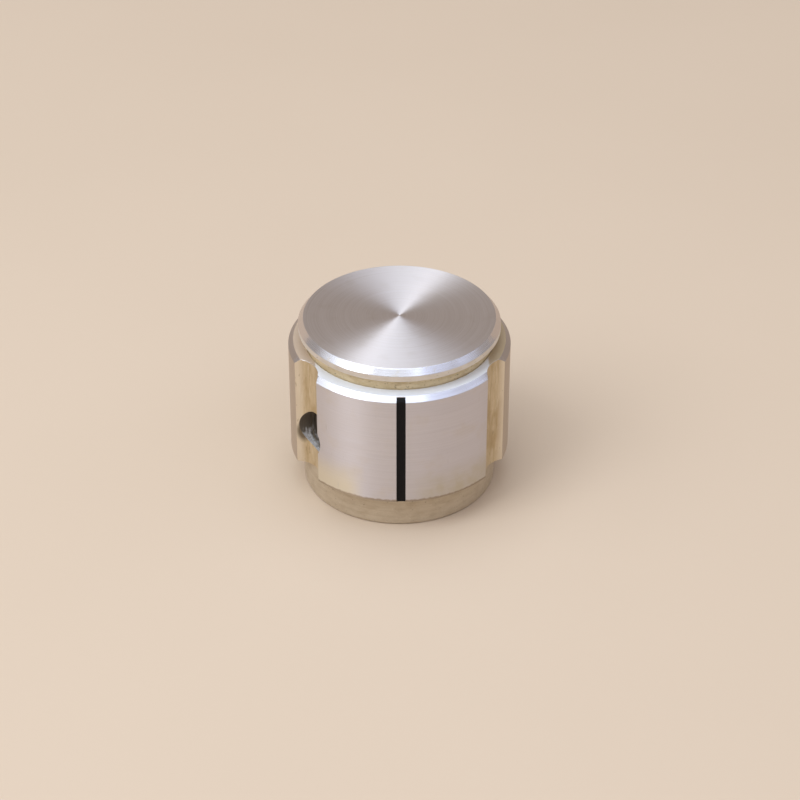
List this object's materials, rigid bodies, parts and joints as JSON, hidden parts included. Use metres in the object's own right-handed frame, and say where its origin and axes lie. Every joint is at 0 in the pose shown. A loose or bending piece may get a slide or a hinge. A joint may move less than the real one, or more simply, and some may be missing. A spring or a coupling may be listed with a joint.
{
  "type": "control knob",
  "caption": "Turned aluminium control knob with a spun top disc, finger flutes, a black pointer line and a set screw that clamps it to a shaft.",
  "frame": {"origin": "centre of the base, on the knob's axis", "axes": "+Z along the knob's axis towards the spun top disc; the pointer line faces -Y"},
  "size_m": [0.025, 0.0248, 0.021],
  "materials": {
    "dull_aluminium": "dull turned, stained by age",
    "brushed_aluminium": "fine turned, satin, with bright cut chamfer",
    "spun_aluminium": "spun in fine rings, with bright cut chamfer",
    "black_enamel": "matt black enamel fill",
    "black_steel": "black oxide",
    "brass": "turned"
  },
  "bodies": {
    "knob": {"hub": "dull_aluminium", "grip_sleeve": "brushed_aluminium", "top_cap": "spun_aluminium", "pointer_fill": "black_enamel"},
    "screw_tip": {"screw_tip": "brass"},
    "set_screw": {"set_screw": "black_steel"}
  },
  "joints": [
    {"name": "screw_travel", "type": "slide", "parent": "knob", "child": "screw_tip", "axis": [0.8387, 0.5446, 0], "range_m": [-0.0024, 0.0016]},
    {"name": "screw_turn", "type": "hinge", "parent": "screw_tip", "child": "set_screw", "pos_m": [0, 0, 0.0094], "axis": [0.8387, 0.5446, 0], "range_deg": [-1080.2, 720.2]}
  ],
  "couplings": [
    {"joint": "screw_turn", "follows": "screw_travel", "rad_per_m": 7854}
  ]
}
